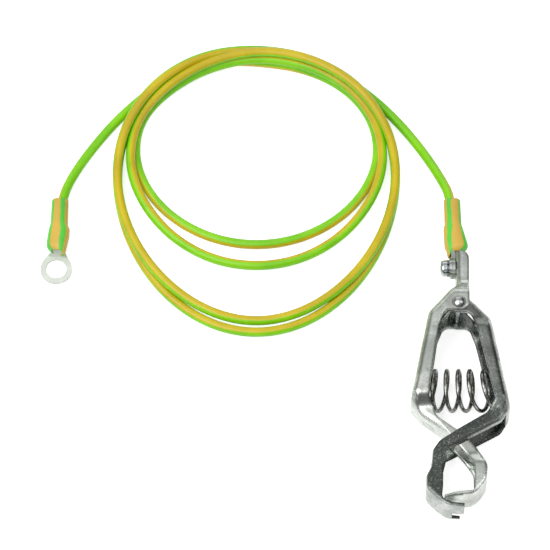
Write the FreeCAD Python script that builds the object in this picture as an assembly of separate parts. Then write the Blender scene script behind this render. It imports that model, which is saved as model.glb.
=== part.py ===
"""Ground clamp: a crossed-arm spring clip with a green and yellow earth lead.

The clip lies flat with its hinge rivet upright. Units are millimetres, +Z is up, and z = 0 is the
surface that the clip rests on. +Y runs from the jaws to the tail. The origin is under the middle of
the clip's own box, without the free lead. Plan sizes are written from the hinge rivet's axis, which
stands at (0, HINGE_Y), and heights from the clip's middle plane at MID_Z.
"""
import FreeCAD
import Part
import math
import os

Vec = FreeCAD.Vector
UP = Vec(0, 0, 1)
ALONG = Vec(0, 1, 0)
ACROSS = Vec(1, 0, 0)

# Driving dimensions
SHEET = 1.2               # thickness of the pressed steel
HANDLE_BEND = 3.0         # outside radius of a handle's bends
JAW_BEND = 1.2
HINGE_Y = 19.0            # hinge axis, from the middle of the clip's length
HALF_WIDE = 10.25         # half the outer height of a handle channel
HALF_HINGE = 8.9          # right arm where it sits inside the left one
HALF_CROSS = 6.0          # left arm where it passes through the right one
HALF_STRIP = 7.9          # right arm at the crossing and along its jaw
HALF_JAW = 7.6            # left arm's jaw
HALF_TAIL = 5.5           # left arm's tail
HALF_SLOT = 6.4           # slot in the right arm's web that the left arm passes through
RIVET_R = 1.55
RIVET_FIT = 0.06          # running clearance of the right arm on the rivet
RIVET_HEAD_R = 2.8
RIVET_DOME = 1.6
RIVET_FOOT = 0.9          # low head under the clip
SPRING_Y = -35.0
SPRING_R = 8.0            # mean radius
SPRING_WIRE_R = 0.65
SPRING_TURNS = 5.5
SPRING_STEPS = 8          # points of the spring's path in one turn
SPRING_HALF = 14.4        # half the spring's length between wire centres
SCREW_Y = 19.4
SCREW_R = 2.0             # M4
SCREW_HEAD_R = 3.5
SCREW_HEAD = 2.6
TAIL_FACE_X = -0.9        # outer face of the tail's web
LUG_SHEET = 1.6
WASHER = 0.8
LOCK_WASHER = 1.0
CABLE_R = 1.95            # 2.5 mm2 earth wire
CORE_R = 1.05             # stranded copper
BARREL_R = 3.1
BARREL_BORE = 2.0
BARREL_LENGTH = 9.0
STRANDS_LENGTH = 9.3      # bare end of the core, from the barrel's closed end to the insulation
SLEEVE_WIDE_R = 4.3
SLEEVE_NARROW_R = 3.6
SLEEVE_WALL = 0.7
RING_R = 6.5
RING_HOLE_R = 4.2         # clears an M8 stud
RING_SHEET = 1.1
COIL_HEIGHT = 7.8         # the lead's turns lie in two layers

MID_Z = RIVET_FOOT + HALF_WIDE
CLIP_BARREL_X = -1.9      # the lug barrel's axis at the clip
RING_X = -164.0
RING_Y = 43.0
RING_TURN = 3.3           # degrees that the ring terminal's barrel leans toward the clip

# Centre line of the lead from each end's barrel to its place in the coil
CLIP_LEAD = [(CLIP_BARREL_X, 58.8, MID_Z), (CLIP_BARREL_X, 70.2, MID_Z), (-6.1, 82.0, 6.4),
             (-12.9, 95.5, 2.9), (-22.6, 109.4, CABLE_R), (-34.5, 122.1, CABLE_R),
             (-48.5, 131.6, CABLE_R)]
RING_LEAD = [(-162.889, 62.268, SLEEVE_WIDE_R), (-162.239, 73.549, SLEEVE_WIDE_R),
             (-157.4, 85.8, 2.6), (-149.4, 98.6, CABLE_R), (-139.6, 111.4, CABLE_R),
             (-127.2, 123.6, CABLE_R), (-114.0, 132.6, CABLE_R)]


def rounded_face(corners):
    """Closed outline in plan with a tangent arc of the given radius at each corner, 0 for sharp."""
    count = len(corners)
    starts, ends, middles = [], [], []
    for i in range(count):
        before = Vec(*corners[i - 1][:2], 0)
        here = Vec(*corners[i][:2], 0)
        after = Vec(*corners[(i + 1) % count][:2], 0)
        radius = corners[i][2]
        to_before = (before - here).normalize()
        to_after = (after - here).normalize()
        half = to_before.getAngle(to_after) / 2
        reach = radius / math.tan(half)
        starts.append(here + to_before * reach)
        ends.append(here + to_after * reach)
        inward = (to_before + to_after).normalize()
        middles.append(here + inward * (radius / math.sin(half) - radius))
    edges = []
    for i in range(count):
        if corners[i][2] > 0:
            edges.append(Part.Arc(starts[i], middles[i], ends[i]).toShape())
        following = starts[(i + 1) % count]
        if (following - ends[i]).Length > 1e-6:
            edges.append(Part.LineSegment(ends[i], following).toShape())
    return Part.Face(Part.Wire(edges))


def plan_prism(face, half_height=20.0):
    low = face.translated(Vec(0, 0, -half_height))
    return low.extrude(Vec(0, 0, 2 * half_height))


def polygon(points):
    return Part.Face(Part.makePolygon([Vec(x, y, 0) for x, y in points + points[:1]]))


def side_prism(profile, inset=0.0):
    """Height profile of an arm: (y, half height, corner radius), extruded across the clip."""
    upper = [(y, half - inset, radius) for y, half, radius in profile]
    lower = [(y, inset - half, radius) for y, half, radius in reversed(profile)]
    face = rounded_face(upper + lower)
    face.Placement = FreeCAD.Placement(Vec(-60, 0, 0), FreeCAD.Rotation(Vec(1, 1, 1), 120))
    return face.extrude(Vec(120, 0, 0))


def bend_edges(solid, x, y):
    """Top and bottom edges of the solid that pass over one point close to its outline."""
    found = []
    for edge in solid.Edges:
        box = edge.BoundBox
        over_point = Part.Vertex(x, y, box.Center.z)
        if box.XLength + box.YLength > 0.01 and edge.distToShape(over_point)[0] < 0.3:
            found.append(edge)
    return found


def pressed_arm(outline, profile, webs, slot=None):
    """Channel of even sheet: two flanges of the outline's shape, joined by webs on its rim.

    Each web is the plan zone that holds it, a point close to the outline in that zone, and the
    outside radius of its bends, which follow the outline both ways to the next sharp corner.
    """
    face = rounded_face(outline)
    body = plan_prism(face).common(side_prism(profile)).removeSplitter()
    for zone, (x, y), radius in webs:
        body = body.makeFillet(radius, bend_edges(body, x, y))
    rim = face.cut(face.makeOffset2D(-SHEET))
    solid_plan = rim.common(webs[0][0].fuse([zone for zone, point, radius in webs[1:]]))
    hollow_plan = polygon([(-60, -120), (60, -120), (60, 60), (-60, 60)]).cut(solid_plan)
    arm = body.cut(plan_prism(hollow_plan).common(side_prism(profile, SHEET)))
    return arm.cut(slot) if slot else arm


def arc_path(points):
    """Straight runs joined by tangent arcs, each as large as its two runs allow, and their radii."""
    edges, bends = [], []
    start = points[0]
    for before, here, after in zip(points, points[1:], points[2:]):
        to_before = (before - here).normalize()
        to_after = (after - here).normalize()
        half_turn = (math.pi - to_before.getAngle(to_after)) / 2
        reach = 0.45 * min((before - here).Length, (after - here).Length)
        bend = reach / math.tan(half_turn)
        inward = (to_before + to_after).normalize()
        middle = here + inward * (bend / math.cos(half_turn) - bend)
        edges.append(Part.LineSegment(start, here + to_before * reach).toShape())
        edges.append(Part.Arc(here + to_before * reach, middle, here + to_after * reach).toShape())
        start = here + to_after * reach
        bends.append((math.degrees(2 * half_turn), bend))
    edges.append(Part.LineSegment(start, points[-1]).toShape())
    return Part.Wire(edges), bends


def round_tube(path, radius):
    first = path.Edges[0]
    heading = first.tangentAt(first.FirstParameter)
    rim = Part.Wire(Part.makeCircle(radius, first.valueAt(first.FirstParameter), heading))
    return path.makePipeShell([rim], True, False)


def disc(radius, thickness, base, direction, hole=0.0):
    body = Part.makeCylinder(radius, thickness, base, direction)
    if hole:
        body = body.cut(Part.makeCylinder(hole, thickness, base, direction))
    return body


def make_left_arm():
    """Outer arm at the hinge, with the tail; its jaw is the one on the right."""
    outline = [
        (TAIL_FACE_X, 25.2, 0), (TAIL_FACE_X, 9.2, 4.0), (-12.4, -3.7, 6.0), (-20.05, -41.6, 4.5),
        (-16.2, -47.9, 8.0), (-4.6, -56.6, 0), (5.3, -69.0, 5.0), (5.3, -80.9, 1.6),
        (-2.5, -81.7, 12.0), (-7.0, -83.2, 0), (-7.1, -84.4, 0), (-2.3, -83.0, 12.0),
        (5.2, -82.6, 5.5), (9.9, -76.5, 7.0), (10.6, -69.5, 6.0), (6.8, -62.8, 0),
        (-1.0, -54.8, 6.0), (-9.5, -48.5, 5.0), (-12.9, -39.6, 4.0), (-8.3, -10.0, 3.0),
        (-5.6, -3.1, 3.5), (4.2, -3.1, 3.2), (4.6, 25.2, 3.6)]
    profile = [(30, HALF_TAIL, 0), (10.0, HALF_TAIL, 7), (5.6, HALF_WIDE, 4.5), (-39.6, HALF_WIDE, 4),
               (-44.4, HALF_CROSS, 4), (-65.0, HALF_CROSS, 7), (-68.5, HALF_JAW, 7),
               (-100, HALF_JAW, 0)]
    handle = polygon([(-30, 30), (1.5, 30), (1.5, 8), (-7.5, -2.5), (-11, -10), (-16.2, -40),
                      (-14.5, -44.5), (-11.5, -48.3), (-1.6, -56.7), (-4.0, -61.0), (-30, -62)])
    jaw = polygon([(7.4, -61.0), (14, -61), (14, -90), (-10, -90), (-10, -80.3), (5.0, -80.3),
                   (7.4, -79.3)])
    arm = pressed_arm(outline, profile, [(handle, (-16.0, -22.0), HANDLE_BEND),
                                         (jaw, (10.2, -73.0), JAW_BEND)])
    arm = arm.cut(Part.makeCylinder(RIVET_R, 40, Vec(0, 0, -20)))
    return arm.cut(Part.makeCylinder(SCREW_R + 0.15, 10, Vec(-5, SCREW_Y, 0), ACROSS))


def make_right_arm():
    """Inner arm at the hinge; its jaw, with the toothed bill, is the one on the left."""
    outline = [
        (-3.9, 3.9, 3.8), (3.5, 3.9, 0), (12.9, -6.2, 5.0), (20.1, -45.5, 6.0),
        (16.8, -51.6, 5.0), (-6.0, -64.2, 0), (-7.3, -69.5, 5.0), (-7.6, -80.0, 6.0),
        (-8.2, -84.6, 2.5), (-3.9, -86.4, 8.0), (0.9, -86.9, 0), (0.8, -88.1, 0),
        (-6.0, -87.5, 5.0), (-10.0, -84.4, 4.0), (-14.2, -80.2, 4.0), (-14.2, -74.8, 3.0),
        (-12.3, -71.0, 4.0), (-11.6, -64.3, 0), (-8.6, -59.9, 4.0), (-1.1, -54.8, 6.0),
        (10.6, -47.6, 3.0), (13.9, -42.2, 3.5), (7.2, -10.5, 5.0), (4.5, -4.0, 3.0),
        (-3.9, -3.9, 3.8)]
    profile = [(10, HALF_HINGE, 0), (-6.8, HALF_HINGE, 7), (-10.0, HALF_WIDE, 7),
               (-41.8, HALF_WIDE, 7), (-46.2, HALF_STRIP, 7), (-100, HALF_STRIP, 0)]
    handle = polygon([(4.6, 8), (30, 8), (30, -62), (-3.0, -64.0), (-6.0, -61.0),
                      (14, -50), (16, -40), (9, -9)])
    jaw = polygon([(-9.8, -64.6), (-20, -64.6), (-20, -92), (2, -92), (2, -86.0), (-3.9, -85.5),
                   (-7.6, -84.0), (-10.2, -81.5), (-10.8, -75.0)])
    slot = Part.makeBox(27.2, 18.0, 2 * HALF_SLOT, Vec(-9.0, -65.0, -HALF_SLOT))
    arm = pressed_arm(outline, profile, [(handle, (16.51, -25.9), HANDLE_BEND),
                                         (jaw, (-14.2, -78.0), JAW_BEND)], slot)
    notch = Part.makeBox(4.9, 6.0, 5.0, Vec(-3.8, -90.0, -6.0))
    upper_tooth = Part.makeBox(1.6, 6.0, 8.0, Vec(-0.6, -90.0, -9.0))
    arm = arm.cut(notch).cut(upper_tooth)
    return arm.cut(Part.makeCylinder(RIVET_R + RIVET_FIT, 40, Vec(0, 0, -20)))


def make_rivet():
    """Hinge rivet: domed head on top, low closed head below."""
    length = 2 * HALF_WIDE
    shank = Part.makeCylinder(RIVET_R, length, Vec(0, 0, -HALF_WIDE))
    ball_r = (RIVET_HEAD_R ** 2 + RIVET_DOME ** 2) / (2 * RIVET_DOME)
    ball = Part.makeSphere(ball_r, Vec(0, 0, HALF_WIDE + RIVET_DOME - ball_r))
    dome = ball.common(Part.makeCylinder(RIVET_HEAD_R, RIVET_DOME, Vec(0, 0, HALF_WIDE)))
    foot = Part.makeCone(RIVET_HEAD_R - 0.6, RIVET_HEAD_R, RIVET_FOOT, Vec(0, 0, -HALF_WIDE - RIVET_FOOT))
    return shank.fuse([dome, foot]).removeSplitter()


def make_spring():
    """Compression spring between the handles, its axis across the clip."""
    steps = round(SPRING_TURNS * SPRING_STEPS)
    route = []
    for k in range(steps + 1):
        angle = 2 * math.pi * k / SPRING_STEPS
        route.append(Vec(SPRING_HALF * (2 * k / steps - 1), SPRING_Y + SPRING_R * math.cos(angle),
                         SPRING_R * math.sin(angle)))
    return round_tube(arc_path(route)[0], SPRING_WIRE_R)


def make_tail_fasteners():
    """Pan head screw, lock washer, flat washer and nut that clamp the lug to the tail."""
    lug_face = TAIL_FACE_X - LUG_SHEET
    washer_face = lug_face - WASHER
    lock_face = washer_face - LOCK_WASHER
    axis = lambda x: Vec(x, SCREW_Y, 0)
    washer = disc(4.2, WASHER, axis(washer_face), ACROSS, SCREW_R + 0.15)
    lock = disc(3.5, LOCK_WASHER, axis(lock_face), ACROSS, SCREW_R + 0.1)
    split = Part.makeBox(LOCK_WASHER, 0.6, 4.0, Vec(lock_face, SCREW_Y - 0.3, 1.5))
    lock = lock.cut(split)
    head = disc(SCREW_HEAD_R, SCREW_HEAD, axis(lock_face - SCREW_HEAD), ACROSS)
    head = head.makeFillet(1.3, [edge for edge in head.Edges
                                 if abs(edge.CenterOfMass.x - lock_face + SCREW_HEAD) < 0.01])
    arms = [Part.makeBox(1.3, 0.9, 3.8, Vec(lock_face - SCREW_HEAD - 0.1, SCREW_Y - 0.45, -1.9)),
            Part.makeBox(1.3, 3.8, 0.9, Vec(lock_face - SCREW_HEAD - 0.1, SCREW_Y - 1.9, -0.45))]
    head = head.cut(arms)
    nut_face = TAIL_FACE_X + SHEET
    shank = Part.makeCylinder(SCREW_R, nut_face + 3.5 - lock_face, axis(lock_face), ACROSS)
    screw = head.fuse(shank).removeSplitter()
    flats = 7.0
    points = [Vec(nut_face, SCREW_Y + flats / math.sqrt(3) * math.sin(math.pi * k / 3),
                  flats / math.sqrt(3) * math.cos(math.pi * k / 3)) for k in range(7)]
    nut = Part.Face(Part.makePolygon(points)).extrude(Vec(3.0, 0, 0))
    nut = nut.cut(Part.makeCylinder(SCREW_R, 3.0, axis(nut_face), ACROSS))
    return {"terminal_screw": screw, "lock_washer": lock, "flat_washer": washer, "terminal_nut": nut}


def make_clip_lug():
    """Lug under the tail screw: a round pad, a neck and the crimp barrel, axis along +Y."""
    pad_x = TAIL_FACE_X - LUG_SHEET
    pad = Part.makeCylinder(4.4, LUG_SHEET, Vec(pad_x, SCREW_Y, 0), ACROSS)
    neck = Part.makeBox(LUG_SHEET, 30.5 - SCREW_Y, 5.6, Vec(pad_x, SCREW_Y, -2.8))
    barrel = Part.makeCylinder(BARREL_R, BARREL_LENGTH, Vec(CLIP_BARREL_X, 29.5, 0), ALONG)
    lug = pad.fuse([neck, barrel])
    bore = Part.makeCylinder(BARREL_BORE, BARREL_LENGTH, Vec(CLIP_BARREL_X, 30.5, 0), ALONG)
    hole = Part.makeCylinder(SCREW_R + 0.15, 4, Vec(pad_x - 1, SCREW_Y, 0), ACROSS)
    return lug.cut([bore, hole]).removeSplitter()


def make_ring_terminal():
    """Tinned ring terminal, flat on the floor with its hole at the origin, barrel toward +Y."""
    ring = Part.makeCylinder(RING_R, RING_SHEET, Vec(0, 0, 0))
    shoulder = polygon([(-5.6, 3.2), (5.6, 3.2), (3.4, 7.0), (-3.4, 7.0)])
    shoulder = shoulder.extrude(Vec(0, 0, RING_SHEET))
    sections = [(5.2, 3.4, 0.0, RING_SHEET), (7.7, 2.3, 1.8, 4.4), (9.4, 2.5, 1.9, 5.6)]
    rings = []
    for y, half, low, high in sections:
        corners = [Vec(-half, y, low), Vec(half, y, low), Vec(half, y, high), Vec(-half, y, high)]
        rings.append(Part.makePolygon(corners + corners[:1]))
    ramp = Part.makeLoft(rings, True, True)
    mouth = Vec(0, 9.0, SLEEVE_WIDE_R)
    barrel = Part.makeCylinder(BARREL_R, BARREL_LENGTH, mouth, ALONG)
    terminal = ring.fuse([shoulder, ramp, barrel])
    hole = Part.makeCylinder(RING_HOLE_R, 4, Vec(0, 0, -1))
    bore = Part.makeCylinder(BARREL_BORE, BARREL_LENGTH, mouth + ALONG, ALONG)
    return terminal.cut([hole, bore]).removeSplitter()


def make_sleeve(base):
    """Heat-shrink sleeve: wide over the barrel, a short cone, then narrower round the lead."""
    profile = [(SLEEVE_WIDE_R, 0.0), (SLEEVE_WIDE_R, 10.5), (SLEEVE_NARROW_R, 12.5),
               (SLEEVE_NARROW_R, 22.0)]
    outer = [Vec(r, s, 0) for r, s in profile]
    inner = [Vec(r - SLEEVE_WALL, s, 0) for r, s in reversed(profile)]
    section = Part.Face(Part.makePolygon(outer + inner + outer[:1]))
    return section.revolve(Vec(0, 0, 0), ALONG, 360).translated(base)


def make_strands(base):
    return Part.makeCylinder(CORE_R, STRANDS_LENGTH, base, ALONG)


def make_lead(name, route):
    """Round tube of the lead's thickness, with its bends and its volume printed for checking."""
    path, bends = arc_path([Vec(*p) for p in route])
    for turn, bend in bends:
        print(f"{name}: turn {turn:.0f} degrees, radius {bend:.1f}")
    tube = round_tube(path, CABLE_R)
    expected = path.Length * math.pi * CABLE_R ** 2
    print(f"{name}: length {path.Length:.1f}, volume ratio {tube.Volume / expected:.4f}")
    return tube


def ellipse_face(centre_x, centre_y, half_x, half_y):
    flat = Part.Ellipse(Vec(0, 0, 0), max(half_x, half_y), min(half_x, half_y)).toShape()
    face = Part.Face(Part.Wire(flat))
    if half_y > half_x:
        face.rotate(Vec(0, 0, 0), UP, 90)
    face.translate(Vec(centre_x, centre_y, 0))
    return face


def make_coil():
    """Outer shape of the lead's loose turns, which meet at the far side and fan out at the near one."""
    ring = ellipse_face(-82.0, 78.2, 59.3, 66.1).cut(ellipse_face(-82.0, 96.3, 47.9, 40.6))
    return ring.extrude(Vec(0, 0, COIL_HEIGHT))


def build():
    clip = {"left_arm": make_left_arm(), "right_arm": make_right_arm(),
            "hinge_rivet": make_rivet(), "handle_spring": make_spring(),
            "clip_lug": make_clip_lug(),
            "clip_sleeve": make_sleeve(Vec(CLIP_BARREL_X, 28.2, 0)),
            "clip_end_strands": make_strands(Vec(CLIP_BARREL_X, 30.5, 0))}
    clip.update(make_tail_fasteners())
    from_hinge = Vec(0, HINGE_Y, MID_Z)
    parts = {name: shape.translated(from_hinge) for name, shape in clip.items()}
    ring_end = {"ring_terminal": make_ring_terminal(),
                "ring_sleeve": make_sleeve(Vec(0, 7.8, SLEEVE_WIDE_R)),
                "ring_end_strands": make_strands(Vec(0, 10.0, SLEEVE_WIDE_R))}
    for name, shape in ring_end.items():
        shape.rotate(Vec(0, 0, 0), UP, -RING_TURN)
        parts[name] = shape.translated(Vec(RING_X, RING_Y, 0))
    parts["lead_at_clip"] = make_lead("lead_at_clip", CLIP_LEAD)
    parts["lead_at_ring"] = make_lead("lead_at_ring", RING_LEAD)
    parts["lead_coil"] = make_coil()
    return parts


def main():
    os.makedirs("parts", exist_ok=True)
    for name, shape in build().items():
        box = shape.BoundBox
        print(f"{name}: {len(shape.Solids)} solid, valid {shape.isValid()}, "
              f"volume {shape.Volume:.1f}, x {box.XMin:.2f} {box.XMax:.2f}, "
              f"y {box.YMin:.2f} {box.YMax:.2f}, z {box.ZMin:.2f} {box.ZMax:.2f}")
        shape.exportStep(f"parts/{name}.step")


main()
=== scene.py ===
"""Ground clamp: visual pieces, materials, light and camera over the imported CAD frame.
Blender's units are metres. The points, stations and radii of the made pieces are given in mm."""
import math

import bmesh
import bpy
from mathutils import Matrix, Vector


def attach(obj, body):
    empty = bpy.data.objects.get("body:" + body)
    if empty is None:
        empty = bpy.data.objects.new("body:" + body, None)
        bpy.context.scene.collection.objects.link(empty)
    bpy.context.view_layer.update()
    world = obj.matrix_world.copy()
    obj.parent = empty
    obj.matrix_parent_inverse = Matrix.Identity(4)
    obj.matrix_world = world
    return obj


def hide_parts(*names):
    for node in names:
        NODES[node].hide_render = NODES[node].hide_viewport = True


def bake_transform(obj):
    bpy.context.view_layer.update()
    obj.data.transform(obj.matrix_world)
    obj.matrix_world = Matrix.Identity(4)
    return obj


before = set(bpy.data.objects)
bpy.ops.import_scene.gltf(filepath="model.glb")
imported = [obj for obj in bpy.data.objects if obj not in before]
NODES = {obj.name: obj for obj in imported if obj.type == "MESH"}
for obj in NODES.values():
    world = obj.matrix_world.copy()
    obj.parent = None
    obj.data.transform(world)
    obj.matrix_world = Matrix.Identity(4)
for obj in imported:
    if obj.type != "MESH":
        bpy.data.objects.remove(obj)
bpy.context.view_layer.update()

MM = 0.001
TURN = 2 * math.pi
UP = Vector((0, 0, 1))


def mm(x, y, z):
    return Vector((x, y, z)) * MM


# ---------------------------------------------------------------- camera

TARGET = mm(-74.3, 40.7, 0)
ELEVATION = math.radians(65)
DISTANCE = 1.8792

camera_data = bpy.data.cameras.new("camera")
camera_data.lens = 300
camera_data.sensor_width = 36
camera_data.clip_start = 0.05
camera_data.clip_end = 20
camera = bpy.data.objects.new("camera", camera_data)
camera.location = TARGET + DISTANCE * Vector((0, -math.cos(ELEVATION), math.sin(ELEVATION)))
camera.rotation_euler = (math.pi / 2 - ELEVATION, 0, 0)
bpy.context.scene.collection.objects.link(camera)
bpy.context.scene.camera = camera
bpy.context.scene.view_settings.view_transform = "Standard"


# ---------------------------------------------------------------- material helpers

PIECE_MAP = "run"                           # the map of every made piece: round it and along it


def new_material(name):
    material = bpy.data.materials.new(name)
    material.use_nodes = True
    tree = material.node_tree
    return material, tree, tree.nodes["Principled BSDF"]


def srgb(r, g, b):
    """Linear colour of an 8-bit sRGB one."""
    def lin(c):
        c /= 255
        return c / 12.92 if c <= 0.04045 else ((c + 0.055) / 1.055) ** 2.4
    return (lin(r), lin(g), lin(b), 1)


def coordinates(tree, stretch=(1, 1, 1), turn=0):
    """Object coordinates, stretched, and turned about Z by degrees."""
    source = tree.nodes.new("ShaderNodeTexCoord")
    mapping = tree.nodes.new("ShaderNodeMapping")
    mapping.inputs["Scale"].default_value = stretch
    mapping.inputs["Rotation"].default_value = (0, 0, math.radians(turn))
    tree.links.new(source.outputs["Object"], mapping.inputs["Vector"])
    return mapping.outputs["Vector"]


def piece_map(tree):
    node = tree.nodes.new("ShaderNodeUVMap")
    node.uv_map = PIECE_MAP
    return node.outputs["UV"]


def axes(tree, vector):
    """The X, Y and Z of a vector."""
    node = tree.nodes.new("ShaderNodeSeparateXYZ")
    tree.links.new(vector, node.inputs[0])
    return node.outputs


def noise(tree, vector, scale, detail=3, rough=0.55, warp=0):
    node = tree.nodes.new("ShaderNodeTexNoise")
    node.inputs["Scale"].default_value = scale
    node.inputs["Detail"].default_value = detail
    node.inputs["Roughness"].default_value = rough
    node.inputs["Distortion"].default_value = warp
    tree.links.new(vector, node.inputs["Vector"])
    return node.outputs["Fac"]


def spread(tree, value, low, high, to_low=0.0, to_high=1.0):
    """Remaps low..high of a value to to_low..to_high, eased and clamped."""
    node = tree.nodes.new("ShaderNodeMapRange")
    node.interpolation_type = "SMOOTHSTEP"
    node.inputs["From Min"].default_value = low
    node.inputs["From Max"].default_value = high
    node.inputs["To Min"].default_value = to_low
    node.inputs["To Max"].default_value = to_high
    tree.links.new(value, node.inputs["Value"])
    return node.outputs["Result"]


def calculate(tree, operation, a, b=None):
    """One step of arithmetic on one or two values, each a number or the output of a node."""
    node = tree.nodes.new("ShaderNodeMath")
    node.operation = operation
    for socket, value in zip(node.inputs, (a, b)):
        if value is None:
            continue
        if isinstance(value, (int, float)):
            socket.default_value = value
        else:
            tree.links.new(value, socket)
    return node.outputs[0]


def scaled(tree, value, by):
    return calculate(tree, "MULTIPLY", value, by)


def blend_colour(tree, factor, a, b, mode="MIX"):
    """Mixes two colours, each a tuple or the output of a node."""
    node = tree.nodes.new("ShaderNodeMix")
    node.data_type = "RGBA"
    node.blend_type = mode
    tree.links.new(factor, node.inputs[0])
    colours = [socket for socket in node.inputs if socket.type == "RGBA"]
    for socket, value in zip(colours, (a, b)):
        if isinstance(value, tuple):
            socket.default_value = value
        else:
            tree.links.new(value, socket)
    return [socket for socket in node.outputs if socket.type == "RGBA"][0]


def bump(tree, shader, height, strength, distance, fold=0):
    """Relief from a height. fold also rounds the shading over the edges, to that radius."""
    node = tree.nodes.new("ShaderNodeBump")
    if fold:
        softened = tree.nodes.new("ShaderNodeBevel")
        softened.samples = 6
        softened.inputs["Radius"].default_value = fold
        tree.links.new(softened.outputs["Normal"], node.inputs["Normal"])
    node.inputs["Strength"].default_value = strength
    node.inputs["Distance"].default_value = distance
    tree.links.new(height, node.inputs["Height"])
    tree.links.new(node.outputs["Normal"], shader.inputs["Normal"])


def finish_node(name, material):
    """Gives a CAD node's slots this material."""
    piece = NODES[name]
    if not piece.material_slots:
        piece.data.materials.append(material)
    for slot in piece.material_slots:
        slot.material = material


SCUFF = srgb(236, 238, 235)


def plated(name, light, dark, stain, rough=(0.2, 0.42), cloud=70, wear=0.5, dents=0.25,
           painted_top_shade=None, fold=0, metal=1.0):
    """Plated sheet steel: a cloudy tone between light and dark, fine mottling, dull stains and
    short scuffs. rough is its range of roughness, cloud the scale of the clouds, wear the strength
    of stains and scuffs, dents that of the relief, and metal how metallic it is. Shade painted on
    the faces that look up is given as a dark colour and the level along the clip above which it
    is fainter. fold is the radius that the shading rounds the edges to."""
    material, tree, shader = new_material(name)
    place = coordinates(tree)
    clouds = spread(tree, noise(tree, place, cloud, detail=4, rough=0.6, warp=0.6), 0.35, 0.65)
    fine = spread(tree, noise(tree, place, 900, rough=0.65), 0.38, 0.66)
    stains = spread(tree, noise(tree, place, 240, detail=5, rough=0.7, warp=1.2), 0.56, 0.7)
    one_way = noise(tree, coordinates(tree, (1, 0.16, 1), 24), 1500, detail=2, rough=0.5)
    other_way = noise(tree, coordinates(tree, (0.16, 1, 1), -38), 1300, detail=2, rough=0.5)
    scuffs = spread(tree, calculate(tree, "MAXIMUM", one_way, other_way), 0.68, 0.76)
    tone = blend_colour(tree, clouds, light, dark)
    tone = blend_colour(tree, scaled(tree, fine, 0.35), tone, dark)
    tone = blend_colour(tree, scaled(tree, stains, wear), tone, stain)
    tone = blend_colour(tree, scaled(tree, scuffs, 0.7 * wear), tone, SCUFF)
    # painted shade: the faces that look up are darkened towards a dark colour, in speckles, less so
    # above the level along the clip
    if painted_top_shade:
        painted_shade_colour, level = painted_top_shade
        surface = tree.nodes.new("ShaderNodeNewGeometry")
        looks_up = spread(tree, axes(tree, surface.outputs["Normal"])[2], 0.75, 0.97)
        near_jaws = spread(tree, axes(tree, surface.outputs["Position"])[1],
                           level - 0.012, level + 0.004, 1, 0.66)
        painted_shade_amount = calculate(tree, "MULTIPLY", looks_up, near_jaws)
        painted_shade_breakup = spread(tree, noise(tree, place, 1100, detail=4, rough=0.7), 0.5, 0.72, 0.92, 0.3)
        tone = blend_colour(tree, calculate(tree, "MULTIPLY", painted_shade_amount, painted_shade_breakup), tone, painted_shade_colour)
    tree.links.new(tone, shader.inputs["Base Color"])
    shader.inputs["Metallic"].default_value = metal
    dull = calculate(tree, "ADD", scaled(tree, fine, 0.5), scaled(tree, stains, 0.5))
    tree.links.new(spread(tree, dull, 0, 1, *rough), shader.inputs["Roughness"])
    hollows = noise(tree, place, 420, rough=0.6)
    relief = calculate(tree, "SUBTRACT", hollows, scaled(tree, scuffs, 0.3))
    bump(tree, shader, relief, dents, 0.00025, fold)
    return material


SPECK = (0.9, 0.9, 0.75, 1)
DEEPER_GREEN = (0.72, 0.86, 0.8, 1)         # what the clouds multiply the colours by
DEEPER_YELLOW = (0.84, 0.84, 0.8, 1)


def insulation(name, yellow_at, green, yellow, rough=0.34):
    """Two-colour plastic. yellow_at(tree, around) makes the share of yellow from the way round."""
    material, tree, shader = new_material(name)
    place = coordinates(tree)
    waver = calculate(tree, "SUBTRACT", noise(tree, place, 130), 0.5)
    around = calculate(tree, "ADD", axes(tree, piece_map(tree))[0], scaled(tree, waver, 0.05))
    cloud = spread(tree, noise(tree, place, 55), 0.35, 0.65)
    speck = spread(tree, noise(tree, place, 1700, detail=2), 0.35, 0.7)
    greens = blend_colour(tree, cloud, green, tuple(c * k for c, k in zip(green, DEEPER_GREEN)))
    yellows = blend_colour(tree, cloud, yellow, tuple(c * k for c, k in zip(yellow, DEEPER_YELLOW)))
    tone = blend_colour(tree, yellow_at(tree, around), greens, yellows)
    tone = blend_colour(tree, scaled(tree, speck, 0.12), tone, SPECK, "MULTIPLY")
    tree.links.new(tone, shader.inputs["Base Color"])
    tree.links.new(spread(tree, speck, 0, 1, rough, rough + 0.12), shader.inputs["Roughness"])
    shader.inputs["Subsurface Weight"].default_value = 0.08
    shader.inputs["Subsurface Radius"].default_value = (0.002, 0.002, 0.001)
    shader.inputs["Subsurface Scale"].default_value = 0.5
    shader.inputs["Coat Weight"].default_value = 0.1
    shader.inputs["Coat Roughness"].default_value = 0.2
    grain = scaled(tree, noise(tree, place, 1500, detail=2), 0.25)
    relief = calculate(tree, "ADD", noise(tree, place, 260, detail=2), grain)
    bump(tree, shader, relief, 0.12, 0.0003)
    return material


# ---------------------------------------------------------------- mesh helpers

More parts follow.
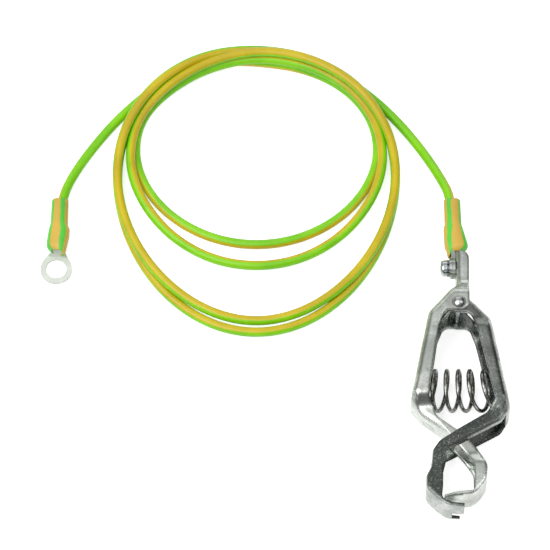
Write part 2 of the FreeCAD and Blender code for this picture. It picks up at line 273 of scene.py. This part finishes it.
def new_piece(name, rings, material, u_of=None, v_of=None, closed=True):
    """A tube skinned over rings of points. u_of(ring, side) and v_of(ring) fill its map."""
    sides = len(rings[0])
    last = len(rings) - 1
    u_of = u_of or (lambda ring, side: side / sides)
    v_of = v_of or (lambda ring: ring / len(rings))
    mesh = bmesh.new()
    chart = mesh.loops.layers.uv.new(PIECE_MAP)
    made = [[mesh.verts.new(point) for point in ring] for ring in rings]
    for i in range(last):
        for k in range(sides):
            n = (k + 1) % sides
            face = mesh.faces.new((made[i][k], made[i][n], made[i + 1][n], made[i + 1][k]))
            corners = ((i, k), (i, k + 1), (i + 1, k + 1), (i + 1, k))
            for loop, (ring, side) in zip(face.loops, corners):
                loop[chart].uv = (u_of(ring, side), v_of(ring))
    if closed:
        for i, order in ((0, -1), (last, 1)):
            face = mesh.faces.new(made[i][::order])
            for loop in face.loops:
                loop[chart].uv = (u_of(i, made[i].index(loop.vert)), 0)
    bmesh.ops.recalc_face_normals(mesh, faces=mesh.faces)
    data = bpy.data.meshes.new(name)
    mesh.to_mesh(data)
    mesh.free()
    for polygon in data.polygons:
        polygon.use_smooth = True
    data.materials.append(material)
    piece = bpy.data.objects.new(name, data)
    bpy.context.scene.collection.objects.link(piece)
    return piece


def circle(centre, first, second, radius, sides):
    """Points round a centre, from the first direction towards the second. radius in mm."""
    angles = [TURN * k / sides for k in range(sides)]
    return [centre + (first * math.cos(a) + second * math.sin(a)) * radius * MM for a in angles]


def along(points):
    """Unit tangents of a list of points."""
    last = len(points) - 1
    return [(points[min(i + 1, last)] - points[max(i - 1, 0)]).normalized()
            for i in range(last + 1)]


def running_length(points):
    total = [0.0]
    for a, b in zip(points, points[1:]):
        total.append(total[-1] + (b - a).length)
    return total


def between(keys, at):
    """Value at a place on a list of (place, value), eased between them."""
    for (a, x), (b, y) in zip(keys, keys[1:]):
        if at <= b:
            t = max(0.0, min(1.0, (at - a) / (b - a)))
            return x + (y - x) * t * t * (3 - 2 * t)
    return keys[-1][1]


# ---------------------------------------------------------------- the lead

# control points of the route, in mm: x, y and height
CABLE_R = 1.95
CLIP_LEAD = [(-1.9, 58.8, 11.15), (-1.9, 70.2, 11.15), (-6.1, 82.0, 6.4), (-12.9, 95.5, 2.9),
             (-22.6, 109.4, 1.95), (-34.5, 122.1, 1.95)]
INTO_COIL = [(-48.5, 132.4, 1.95), (-63.5, 139.6, 1.95)]
OUT_OF_COIL = [(-99.0, 138.6, 1.95), (-115.0, 133.9, 1.95)]
RING_LEAD = [(-127.2, 123.6, 1.95), (-139.6, 111.4, 1.95), (-149.4, 98.6, 1.95),
             (-157.4, 85.8, 2.6), (-162.239, 73.549, 4.3), (-162.889, 62.268, 4.3)]

COIL_X = -81.95
COIL_TOP = 139.55
STEPS = 16                                  # points to a turn
# of each turn: half its width, the level where it is widest, and the level of its low point
TURNS = [(57.35, 81.0, 14.1), (57.35, 81.0, 19.1), (52.0, 90.0, 44.1), (50.0, 94.6, 53.6)]
BUNDLE = [1.95, 1.95, 0.0, -1.95, -1.95]    # where each pass lies across the gathered top
EGG = 0.07                                  # makes a turn fuller above its widest level
# over this share of a turn, on each side of the top, its shape blends into the next one's
GATHER = 0.25
# a smooth spline cuts inside its control points, so they lie this much further out
GROW = 1 / (0.75 + 0.25 * math.cos(TURN / STEPS))
# how high each turn lies, and how far (turn, step) is nudged outwards, from the top anticlockwise
LOW = CABLE_R
RISE = [
    [LOW, 5.5, 5.85, 4.0, LOW, LOW, LOW, LOW, LOW, LOW, LOW, LOW, LOW, 3.4, 5.6, 5.85],
    [5.85, 9.3, 9.75, 7.9, 5.85, 5.6, 5.2, 3.4, LOW, 3.4, 5.2, 5.6, 5.85, 7.2, 9.3, 9.6],
    [9.3, 8.4, 7.0, 5.6, 5.3, 5.0, 3.0, LOW, LOW, LOW, 3.0, 5.0, 5.3, 5.3, 5.6, 5.85],
    [5.85, 4.9, 2.6] + [LOW] * 13,
    [LOW],
]
NUDGE = {(0, 1): -0.5, (0, 2): -0.5, (0, 3): -0.2, (0, 14): 0.4,
         (1, 1): -0.5, (1, 2): -0.5, (1, 3): -0.2,
         (2, 0): -0.3, (2, 1): -2.1, (2, 2): -2.1, (2, 3): -0.5,
         (3, 1): -1.2, (3, 2): -1.3}


def coil_points():
    """Four loose turns gathered at the top. Each has its own width, widest level and low point."""
    last = len(TURNS) - 1
    points = []
    for count in range(len(TURNS) * STEPS + 1):
        turn, step = divmod(count, STEPS)
        share = step / STEPS
        phi = TURN * share
        here = TURNS[min(turn, last)]
        before = TURNS[max(turn - 1, 0)]
        after = TURNS[min(turn + 1, last)]
        shape = here
        if share < GATHER:
            t = (1 - math.cos(math.pi * share / GATHER)) / 2
            shape = [(a + b) / 2 * (1 - t) + b * t for a, b in zip(before, here)]
        elif share > 1 - GATHER:
            t = (1 - math.cos(math.pi * (share - 1 + GATHER) / GATHER)) / 2
            shape = [a * (1 - t) + (a + b) / 2 * t for a, b in zip(here, after)]
        half, level = shape[0], shape[1]
        across = BUNDLE[turn] if share < 0.5 else BUNDLE[turn + 1]
        tall = COIL_TOP + across - level if math.cos(phi) >= 0 else level - here[2]
        nudge = NUDGE.get((turn, step), 0)
        wide = half * GROW * math.sin(phi) * (1 + EGG * math.cos(phi))
        points.append((COIL_X - wide - nudge * math.sin(phi),
                       level + tall * GROW * math.cos(phi) + nudge * math.cos(phi),
                       RISE[turn][step]))
    return points


ROUTE = CLIP_LEAD + INTO_COIL + coil_points() + OUT_OF_COIL + RING_LEAD


def smooth_line(name, points):
    """The points of a smooth spline controlled by these."""
    curve = bpy.data.curves.new(name, "CURVE")
    curve.dimensions = "3D"
    spline = curve.splines.new("NURBS")
    spline.points.add(len(points) - 1)
    for point, at in zip(spline.points, points):
        point.co = (at[0] * MM, at[1] * MM, at[2] * MM, 1)
    spline.order_u = 3
    spline.use_endpoint_u = True
    spline.resolution_u = 10
    holder = bpy.data.objects.new(name, curve)
    line = bpy.data.meshes.new_from_object(holder)
    found = [vertex.co.copy() for vertex in line.vertices]
    bpy.data.objects.remove(holder)
    bpy.data.curves.remove(curve)
    bpy.data.meshes.remove(line)
    return found


# where the yellow stripe faces: the number of a control point of the route, and the degrees from up
# towards the coil's inside
ROLL = [(0, -80), (3, -120), (6, -180), (8, -170), (12, -20), (16, 25), (20, 0), (24, 42), (28, 2),
        (32, 32), (36, 0), (40, 4), (44, 48), (48, 70), (52, 48), (56, -44), (60, -64), (64, -104),
        (68, -74), (72, -240), (77, -168), (80, -82)]
LEAD_SIDES = 18
GREEN = srgb(148, 226, 2)
YELLOW = srgb(222, 198, 22)


def yellow_stripe(tree, around):
    """A stripe that covers nearly a third of the way round, and is centred half way round."""
    turned = calculate(tree, "COSINE", scaled(tree, around, TURN))
    return spread(tree, turned, -0.44, -0.7)


def make_lead():
    line = smooth_line("lead_route", ROUTE)
    lengths = running_length(line)
    last = len(line) - 1
    rings = []
    for point, way in zip(line, along(line)):
        out = way.cross(UP).normalized()
        top = out.cross(way).normalized()
        rings.append(circle(point, top, -out, CABLE_R, LEAD_SIDES))
    rolls = [between(ROLL, i / last * (len(ROUTE) - 1)) for i in range(last + 1)]
    material = insulation("lead_insulation", yellow_stripe, GREEN, YELLOW)
    piece = new_piece("lead", rings, material,
                      u_of=lambda ring, side: side / LEAD_SIDES - rolls[ring] / 360 + 0.5,
                      v_of=lambda ring: lengths[ring] * 10)
    return piece, line


lead, LEAD_LINE = make_lead()
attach(lead, "tail_arm")
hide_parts("lead_at_clip", "lead_coil", "lead_at_ring")


# ---------------------------------------------------------------- sleeves

SLEEVE_GREEN = srgb(98, 220, 72)
SLEEVE_YELLOW = srgb(234, 192, 84)
SLEEVE_ROUGH = 0.42
SLEEVE_SIDES = 48
SEAM = 0.012                                # how far a stripe's soft edge reaches to each side
WALL = 0.75
GRIP_DEPTH, GRIP_GAP = 2.5, 0.1             # how deep, and how near the cable, the end turns in
SQUARENESS = 0.86                           # below 1 it fills out the flattened section's corners
SLANT_ASIDE = 1.6                           # above 1 it keeps the mouth's slant off the lobe
SLANT_LATE = 4                              # above 1 it keeps the slant near the mouth
# rings that close the sleeve's two ends over its wall: how far the level moves and how much thinner
# it gets there, and at the mouth the share of its slant
CABLE_END = ((-0.4, WALL), (-0.05, 0.6 * WALL), (0, 0.3 * WALL))
MOUTH = ((-0.55, 0.15, 1), (-0.75, 0.4, 1), (-0.6, 0.7, 1), (0.4, 0.85, 0.9))


def striped(*stripes):
    """Yellow between the low and high of each stripe, as shares of the way round, on green."""
    def yellow_at(tree, around):
        wrapped = calculate(tree, "FRACT", around)
        total = None
        for low, high in stripes:
            begun = spread(tree, wrapped, low - SEAM, low + SEAM)
            not_ended = spread(tree, wrapped, high - SEAM, high + SEAM, 1, 0)
            inside = calculate(tree, "MULTIPLY", begun, not_ended)
            total = inside if total is None else calculate(tree, "ADD", total, inside)
        return total
    return yellow_at


def make_sleeve(name, base, side, stations, slant, material):
    """A flattened shrink sleeve along Y. side is 1 where its lobe is towards +X, -1 towards -X.
    stations are (level, half width on the lobe's side, on the other, half height) from the cable's
    end to the mouth. slant is how much lower the mouth is on the side away from the lobe."""
    origin = mm(*base)

    def ring(level, lobe, other, tall, sag=0.0):
        made = []
        for k in range(SLEEVE_SIDES):
            angle = TURN * k / SLEEVE_SIDES
            toward, rise = math.cos(angle) * side, math.sin(angle)
            x = side * math.copysign(abs(toward) ** SQUARENESS, toward)
            z = math.copysign(abs(rise) ** SQUARENESS, rise)
            drop = sag * (0.5 - 0.5 * toward) ** SLANT_ASIDE
            made.append(origin + mm(x * (lobe if toward > 0 else other), level - drop, z * tall))
        return made

    def ring_at(station, shift, thinner, sag=0.0):
        level, lobe, other, tall = station
        return ring(level + shift, lobe - thinner, other - thinner, tall - thinner, sag)

    top, end = stations[0], stations[-1]
    grip = CABLE_R + GRIP_GAP
    rings = [ring(top[0] - GRIP_DEPTH, grip, grip, grip)]
    rings += [ring_at(top, shift, thinner) for shift, thinner in CABLE_END]
    for station in stations:
        gone = (top[0] - station[0]) / (top[0] - end[0])
        rings.append(ring_at(station, -0.25, 0, slant * gone ** SLANT_LATE))
    rings += [ring_at(end, shift, thinner, slant * share) for shift, thinner, share in MOUTH]
    rings.append(ring_at(stations[-3], 0, 0.9, slant * 0.3))        # the wall inside the mouth
    piece = new_piece(name, rings, material, closed=False)
    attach(piece, "tail_arm")
    return piece


clip_stripes = insulation("clip_sleeve_plastic",
                          striped((0.125, 0.26), (0.353, 0.56), (0.66, 0.86)),
                          SLEEVE_GREEN, SLEEVE_YELLOW, SLEEVE_ROUGH)
ring_stripes = insulation("ring_sleeve_plastic",
                          striped((-0.05, 0.147), (0.24, 0.362), (0.64, 0.84), (0.94, 1.05)),
                          SLEEVE_GREEN, SLEEVE_YELLOW, SLEEVE_ROUGH)

clip_sleeve = make_sleeve(
    "clip_sleeve_skin", (-1.9, 0, 11.15), 1,
    [(69.2, 3.6, 3.15, 2.9), (67.5, 3.7, 3.2, 2.95), (64.0, 3.75, 3.1, 2.95),
     (60.5, 3.85, 3.05, 3.0), (58.2, 4.0, 3.0, 3.1), (57.2, 4.3, 3.35, 3.5),
     (56.0, 4.65, 3.5, 3.7), (53.6, 5.25, 3.4, 3.8), (51.2, 5.9, 3.35, 3.9),
     (49.4, 6.35, 3.15, 3.9), (48.4, 6.4, 2.5, 3.8), (47.6, 6.1, 2.3, 3.6),
     (46.9, 5.4, 2.1, 3.3), (46.5, 4.5, 2.0, 2.9)],
    2.6, clip_stripes)
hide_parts("clip_sleeve")

ring_sleeve = make_sleeve(
    "ring_sleeve_skin", (-162.9, 0, 4.3), -1,
    [(72.6, 3.3, 3.5, 2.9), (70.8, 3.4, 3.55, 2.95), (67.5, 3.5, 3.55, 2.95),
     (64.0, 3.6, 3.5, 3.0), (62.0, 3.7, 3.5, 3.1), (61.0, 3.95, 3.6, 3.5),
     (59.6, 4.3, 4.3, 3.7), (57.0, 4.7, 4.2, 3.8), (54.4, 5.0, 3.7, 3.8),
     (52.6, 5.1, 3.3, 3.75), (51.4, 4.9, 3.0, 3.6), (50.6, 4.4, 2.8, 3.3),
     (50.1, 3.6, 2.6, 2.9)],
    1.5, ring_stripes)
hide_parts("ring_sleeve")


# ---------------------------------------------------------------- the handle spring

SPRING_Y, SPRING_Z = -16.0, 11.15           # where its axis runs, along X
SPRING_R, WIRE_R = 8.15, 0.84
SPRING_LENGTH = 33.0
SPRING_SIDES, SPRING_STEPS = 12, 200
REACH = 3.4                                 # turns on each side of its middle
PITCH, END_PITCH = 5.42, 2.2
OPEN_TURNS, OPEN_REACH = 2.6, 14.1          # turns from the middle, and mm, to where it closes up
OFF_CENTRE = -0.56                          # how far its middle turn lies off the clip's middle
CLOSER_IN = 0.75                            # what the first turn on the right is moved inwards
TAPER_FROM, TAPER = 2.4, 0.5                # turns from the middle, and mm of radius per turn
FAN_LEFT, FAN_RIGHT = 11.4, -14.6           # degrees that the turns lean at the left and right end
# how far the wire leaves the plane of its turn: turns from the middle, and mm
SLANT = [(-3.4, -0.4), (-2, -1.4), (-1, -1.4), (0, -1.7), (1, -2.4), (2, -3.1), (2.6, -2.8),
         (3.4, -0.6)]
LEVEL_SLANT = 0.46                          # its share across the turn, against that up the turn


def spring_line():
    """The wire's middle: turns that fan out across the clip, close together at the ends."""
    line = []
    for i in range(SPRING_STEPS + 1):
        n = -REACH + 2 * REACH * i / SPRING_STEPS
        size = abs(n)
        push = PITCH * size if size <= OPEN_TURNS else OPEN_REACH + END_PITCH * (size - OPEN_TURNS)
        push -= CLOSER_IN * max(0.0, 1 - abs(n - 1))
        x = OFF_CENTRE * (1 - size / 3) + math.copysign(push, n)
        from_left = (x + SPRING_LENGTH / 2) / SPRING_LENGTH
        fan = math.tan(math.radians(FAN_LEFT + (FAN_RIGHT - FAN_LEFT) * from_left))
        radius = SPRING_R - TAPER * max(0.0, size - TAPER_FROM)
        across, rise = math.cos(TURN * n), math.sin(TURN * n)
        slant = between(SLANT, n) * (rise - LEVEL_SLANT * across)
        y = SPRING_Y + radius * across
        line.append(mm(x + (y - SPRING_Y) * fan + slant, y, SPRING_Z + radius * rise))
    return line


def drawn_wire():
    """Drawn steel wire: cloudy grey with dark streaks along it."""
    material, tree, shader = new_material("spring_wire")
    stretch = tree.nodes.new("ShaderNodeMapping")
    stretch.inputs["Scale"].default_value = (7, 260, 1)
    tree.links.new(piece_map(tree), stretch.inputs["Vector"])
    drawn = spread(tree, noise(tree, stretch.outputs["Vector"], 1.0, rough=0.6), 0.35, 0.7)
    cloud = spread(tree, noise(tree, coordinates(tree), 300, detail=4, rough=0.65), 0.35, 0.68)
    tone = blend_colour(tree, cloud, srgb(186, 188, 182), srgb(104, 106, 100))
    tone = blend_colour(tree, scaled(tree, drawn, 0.5), tone, srgb(70, 72, 66))
    tree.links.new(tone, shader.inputs["Base Color"])
    shader.inputs["Metallic"].default_value = 1
    tree.links.new(spread(tree, drawn, 0, 1, 0.16, 0.34), shader.inputs["Roughness"])
    bump(tree, shader, drawn, 0.15, 0.0001)
    return material


def make_spring():
    line = spring_line()
    axis = mm(0, SPRING_Y, SPRING_Z)
    rings = []
    for point, way in zip(line, along(line)):
        out = Vector((0, point.y - axis.y, point.z - axis.z)).normalized()
        out = (out - way * out.dot(way)).normalized()
        rings.append(circle(point, out, way.cross(out).normalized(), WIRE_R, SPRING_SIDES))
    for at in (0, -1):                      # the cut ends are a little thinner
        rings[at] = [line[at] + (point - line[at]) * 0.75 for point in rings[at]]
    return new_piece("handle_spring_wire", rings, drawn_wire())


spring = make_spring()
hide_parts("handle_spring")
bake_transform(spring)


# ---------------------------------------------------------------- finishes of the CAD nodes

ARM_STAIN = srgb(84, 86, 78)
ZINC_STAIN = srgb(96, 102, 102)
ARM_FOLD = 0.0015

finish_node("left_arm", plated("left_arm_plating", srgb(236, 240, 234), srgb(188, 194, 187),
                               ARM_STAIN, (0.17, 0.36), wear=0.45, dents=0.18, fold=ARM_FOLD))
# the right arm's light and dark tones are lower than the left arm's: painted shade; its faces that
# look up also get painted shade
finish_node("right_arm", plated("right_arm_plating", srgb(218, 222, 217), srgb(160, 165, 160),
                                ARM_STAIN, (0.18, 0.4), wear=0.6, dents=0.3,
                                painted_top_shade=(srgb(66, 72, 68), -0.016), fold=ARM_FOLD))
finish_node("hinge_rivet", plated("rivet_steel", srgb(214, 218, 216), srgb(160, 166, 165),
                                  ARM_STAIN, (0.22, 0.4), cloud=160, wear=0.25))
zinc = plated("screw_zinc", srgb(226, 231, 234), srgb(168, 176, 180), ZINC_STAIN, (0.12, 0.3),
              cloud=200, wear=0.3, dents=0.15)
finish_node("terminal_screw", zinc)
finish_node("terminal_nut", zinc)
finish_node("lock_washer", plated("washer_steel", srgb(150, 154, 152), srgb(96, 100, 98),
                                  srgb(50, 52, 50), (0.2, 0.4), cloud=200))
finish_node("flat_washer", plated("washer_zinc", srgb(226, 230, 230), srgb(170, 176, 178),
                                  ZINC_STAIN, (0.14, 0.32), cloud=200, wear=0.3))
finish_node("clip_lug", plated("lug_tin", srgb(196, 200, 194), srgb(140, 146, 140),
                               srgb(92, 98, 90), (0.28, 0.5), cloud=140, wear=0.4, dents=0.2))
finish_node("ring_terminal", plated("terminal_tin", srgb(240, 245, 237), srgb(222, 229, 218),
                                    srgb(186, 193, 180), (0.36, 0.58), cloud=120, wear=0.35,
                                    dents=0.12, fold=0.0003, metal=0.2))


def stranded():
    """Bare copper strands laid along the barrel."""
    material, tree, shader = new_material("strand_copper")
    cells = tree.nodes.new("ShaderNodeTexVoronoi")
    cells.inputs["Scale"].default_value = 2600
    tree.links.new(coordinates(tree, (1, 0.05, 1)), cells.inputs["Vector"])
    seams = spread(tree, cells.outputs["Distance"], 0.1, 0.6)
    cloud = spread(tree, noise(tree, coordinates(tree), 500), 0.4, 0.65)
    tone = blend_colour(tree, cloud, srgb(214, 132, 84), srgb(160, 88, 50))
    # painted shade: the grooves between the strands are darkened
    tone = blend_colour(tree, scaled(tree, seams, 0.6), tone, srgb(80, 40, 22))
    tree.links.new(tone, shader.inputs["Base Color"])
    shader.inputs["Metallic"].default_value = 1
    tree.links.new(spread(tree, seams, 0, 1, 0.2, 0.45), shader.inputs["Roughness"])
    bump(tree, shader, seams, 0.4, 0.0002)
    return material


copper = stranded()
finish_node("clip_end_strands", copper)
finish_node("ring_end_strands", copper)


# ---------------------------------------------------------------- floor and light

FLOOR_REACH = 1.6
FLOOR_GAP = 0.0002                          # below the pieces that lie on it
PAPER_LIGHT, PAPER_DARK = (0.93, 0.93, 0.93, 1), (0.9, 0.9, 0.9, 1)
SEEN_GLOW, MIRRORED_GLOW = 0.66, 0.3        # how much the paper glows, seen directly and in metal


def make_floor():
    data = bpy.data.meshes.new("floor")
    low, high = -FLOOR_REACH, FLOOR_REACH
    data.from_pydata([(low, low, 0), (high, low, 0), (high, high, 0), (low, high, 0)], [],
                     [(0, 1, 2, 3)])
    floor = bpy.data.objects.new("floor", data)
    floor.location = (TARGET.x, TARGET.y, -FLOOR_GAP)
    bpy.context.scene.collection.objects.link(floor)
    material, tree, shader = new_material("floor_paper")
    fine = spread(tree, noise(tree, coordinates(tree), 900, detail=2), 0.3, 0.7)
    tone = blend_colour(tree, fine, PAPER_LIGHT, PAPER_DARK)
    tree.links.new(tone, shader.inputs["Base Color"])
    shader.inputs["Roughness"].default_value = 0.9
    shader.inputs["Specular IOR Level"].default_value = 0.1
    rays = tree.nodes.new("ShaderNodeLightPath")
    direct = scaled(tree, rays.outputs["Is Camera Ray"], SEEN_GLOW)
    mirrored = scaled(tree, rays.outputs["Is Glossy Ray"], MIRRORED_GLOW)
    glow = tree.nodes.new("ShaderNodeEmission")
    tree.links.new(calculate(tree, "MAXIMUM", direct, mirrored), glow.inputs["Strength"])
    both = tree.nodes.new("ShaderNodeAddShader")
    tree.links.new(shader.outputs[0], both.inputs[0])
    tree.links.new(glow.outputs[0], both.inputs[1])
    tree.links.new(both.outputs[0], tree.nodes["Material Output"].inputs["Surface"])
    data.materials.append(material)


def make_light(name, at, size, power):
    """A soft rectangular lamp that points at the camera's target."""
    data = bpy.data.lights.new(name, "AREA")
    data.shape = "RECTANGLE"
    data.size, data.size_y = size
    data.energy = power
    light = bpy.data.objects.new(name, data)
    light.location = at
    light.rotation_euler = (TARGET - Vector(at)).to_track_quat("-Z", "Y").to_euler()
    bpy.context.scene.collection.objects.link(light)


# brightness of the studio by how high a direction points: 0 is level or lower, 1 is overhead
TENT = [(0.0, 0.2), (0.2, 0.12), (0.45, 0.15), (0.7, 0.3), (0.86, 0.62), (0.95, 0.84), (1.0, 1.0)]
LEFT_STRENGTH, RIGHT_STRENGTH = 1.65, 0.4


def make_world():
    """A studio tent: bright overhead, grey to the sides, the left brighter than the right."""
    world = bpy.data.worlds.new("studio")
    bpy.context.scene.world = world
    world.use_nodes = True
    tree = world.node_tree
    back = tree.nodes["Background"]
    way = axes(tree, tree.nodes.new("ShaderNodeTexCoord").outputs["Generated"])
    ramp = tree.nodes.new("ShaderNodeValToRGB")
    elements = ramp.color_ramp.elements
    while len(elements) < len(TENT):
        elements.new(0.5)
    for element, (where, level) in zip(elements, TENT):
        element.position = where
        element.color = (level, level, level, 1)
    tree.links.new(way[2], ramp.inputs[0])
    tree.links.new(ramp.outputs[0], back.inputs[0])
    strength = spread(tree, way[0], -0.8, 0.8, LEFT_STRENGTH, RIGHT_STRENGTH)
    tree.links.new(strength, back.inputs[1])


make_floor()
make_world()
# place and size in metres, and power in watts
make_light("key", (-0.45, -0.2, 0.75), (0.8, 0.8), 4.2)
make_light("fill", (0.5, 0.0, 0.7), (0.4, 0.6), 1.2)
make_light("rim", (-0.05, 0.9, 0.45), (1.2, 0.5), 1.8)
